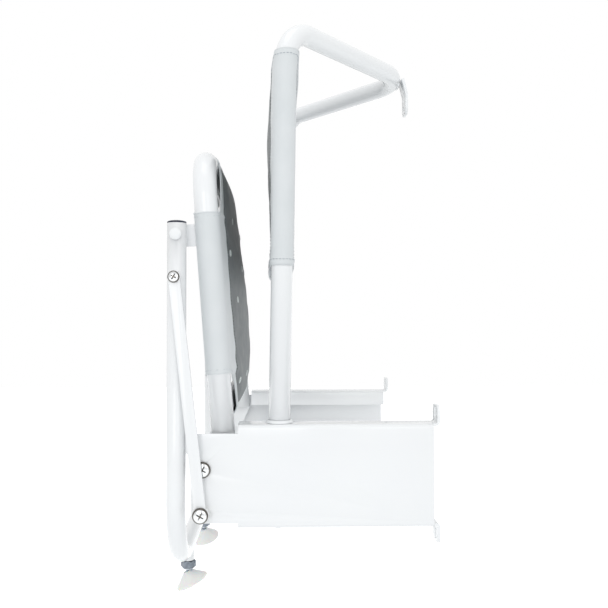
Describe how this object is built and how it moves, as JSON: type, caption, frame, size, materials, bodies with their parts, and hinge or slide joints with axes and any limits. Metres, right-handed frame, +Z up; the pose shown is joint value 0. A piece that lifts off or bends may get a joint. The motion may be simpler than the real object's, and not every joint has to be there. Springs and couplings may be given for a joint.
{
  "type": "wall-mounted shower seat",
  "caption": "Folding shower seat with a fabric seat and back on a white tube frame, hung on two wall brackets, with a drop-down leg on suction feet.",
  "frame": {"origin": "the back of the wall plate, at mid-width, where it lies on the wall", "axes": "+X towards the sitter's left, +Y into the wall, +Z up; the wall is the plane Y = 0"},
  "size_m": [0.4826, 0.3252, 0.7173],
  "materials": {
    "powder_coated_steel": "smooth white gloss powder coat",
    "grey_fabric": "fine-woven grey fabric with a smooth coating",
    "white_plastic": "satin",
    "black_plastic": "satin",
    "nylon": "satin",
    "zinc_steel": "bright zinc",
    "chrome": "polished",
    "white_rubber": "smooth, slightly glossy"
  },
  "bodies": {
    "wall_frame": {"left_bracket": "powder_coated_steel", "right_bracket": "powder_coated_steel", "back_frame": "powder_coated_steel", "wall_plate": "powder_coated_steel", "back_cover": "grey_fabric", "left_upright_collar": "powder_coated_steel", "left_upright_plug": "powder_coated_steel", "left_upright_bolt": "powder_coated_steel", "left_hinge_bolt": "chrome", "left_hinge_bush": "nylon", "left_hinge_washer": "zinc_steel", "left_hinge_nut": "zinc_steel", "left_strut_bolt": "chrome", "left_strut_spacer": "nylon", "left_strut_nut": "zinc_steel", "right_upright_collar": "powder_coated_steel", "right_upright_plug": "powder_coated_steel", "right_upright_bolt": "powder_coated_steel", "right_hinge_bolt": "chrome", "right_hinge_bush": "nylon", "right_hinge_washer": "zinc_steel", "right_hinge_nut": "zinc_steel", "right_strut_bolt": "chrome", "right_strut_spacer": "nylon", "right_strut_nut": "zinc_steel"},
    "seat": {"seat_frame": "powder_coated_steel", "seat_rear_bar": "powder_coated_steel", "seat_cover": "grey_fabric", "left_hinge_lug": "powder_coated_steel", "left_leg_tab": "powder_coated_steel", "right_hinge_lug": "powder_coated_steel", "right_leg_tab": "powder_coated_steel"},
    "leg": {"leg_frame": "powder_coated_steel", "left_leg_plug": "black_plastic", "left_leg_pin": "zinc_steel", "left_leg_pin_cap": "white_plastic", "left_leg_pin_nut": "zinc_steel", "left_strut_screw": "chrome", "left_strut_bush": "nylon", "left_strut_screw_nut": "zinc_steel", "left_foot_boss": "powder_coated_steel", "left_foot_lock_nut": "chrome", "right_leg_plug": "black_plastic", "right_leg_pin": "zinc_steel", "right_leg_pin_cap": "white_plastic", "right_leg_pin_nut": "zinc_steel", "right_strut_screw": "chrome", "right_strut_bush": "nylon", "right_strut_screw_nut": "zinc_steel", "right_foot_boss": "powder_coated_steel", "right_foot_lock_nut": "chrome"},
    "left_strut": {"left_strut": "powder_coated_steel"},
    "right_strut": {"right_strut": "powder_coated_steel"},
    "left_foot": {"left_foot_stem": "zinc_steel"},
    "right_foot": {"right_foot_stem": "zinc_steel"},
    "left_cup": {"left_suction_cup": "white_rubber"},
    "right_cup": {"right_suction_cup": "white_rubber"}
  },
  "joints": [
    {"name": "seat_fold", "type": "hinge", "parent": "wall_frame", "child": "seat", "pos_m": [0, -0.2752, -0.4955], "axis": [1, 0, 0], "range_deg": [0, 85.5]},
    {"name": "leg_fold", "type": "hinge", "parent": "seat", "child": "leg", "pos_m": [0, -0.3062, -0.2254], "axis": [1, 0, 0], "range_deg": [-85.5, 0]},
    {"name": "left_strut_turn", "type": "hinge", "parent": "wall_frame", "child": "left_strut", "pos_m": [0.2341, -0.2764, -0.5448], "axis": [1, 0, 0], "range_deg": [0, 85.5]},
    {"name": "right_strut_turn", "type": "hinge", "parent": "wall_frame", "child": "right_strut", "pos_m": [-0.2341, -0.2764, -0.5448], "axis": [1, 0, 0], "range_deg": [0, 85.5]},
    {"name": "left_foot_height", "type": "slide", "parent": "leg", "child": "left_foot", "axis": [0, 0, -1], "range_m": [0, 0.02]},
    {"name": "left_cup_tilt", "type": "hinge", "parent": "left_foot", "child": "left_cup", "pos_m": [0.098, -0.3062, -0.6556], "axis": [1, 0, 0], "range_deg": [-54, 2]},
    {"name": "right_foot_height", "type": "slide", "parent": "leg", "child": "right_foot", "axis": [0, 0, -1], "range_m": [0, 0.02]},
    {"name": "right_cup_tilt", "type": "hinge", "parent": "right_foot", "child": "right_cup", "pos_m": [-0.098, -0.3062, -0.6556], "axis": [1, 0, 0], "range_deg": [-35, 11]}
  ],
  "couplings": [
    {"joint": "leg_fold", "follows": "seat_fold", "ratio": -1},
    {"joint": "left_strut_turn", "follows": "seat_fold", "ratio": 1},
    {"joint": "right_strut_turn", "follows": "seat_fold", "ratio": 1}
  ]
}
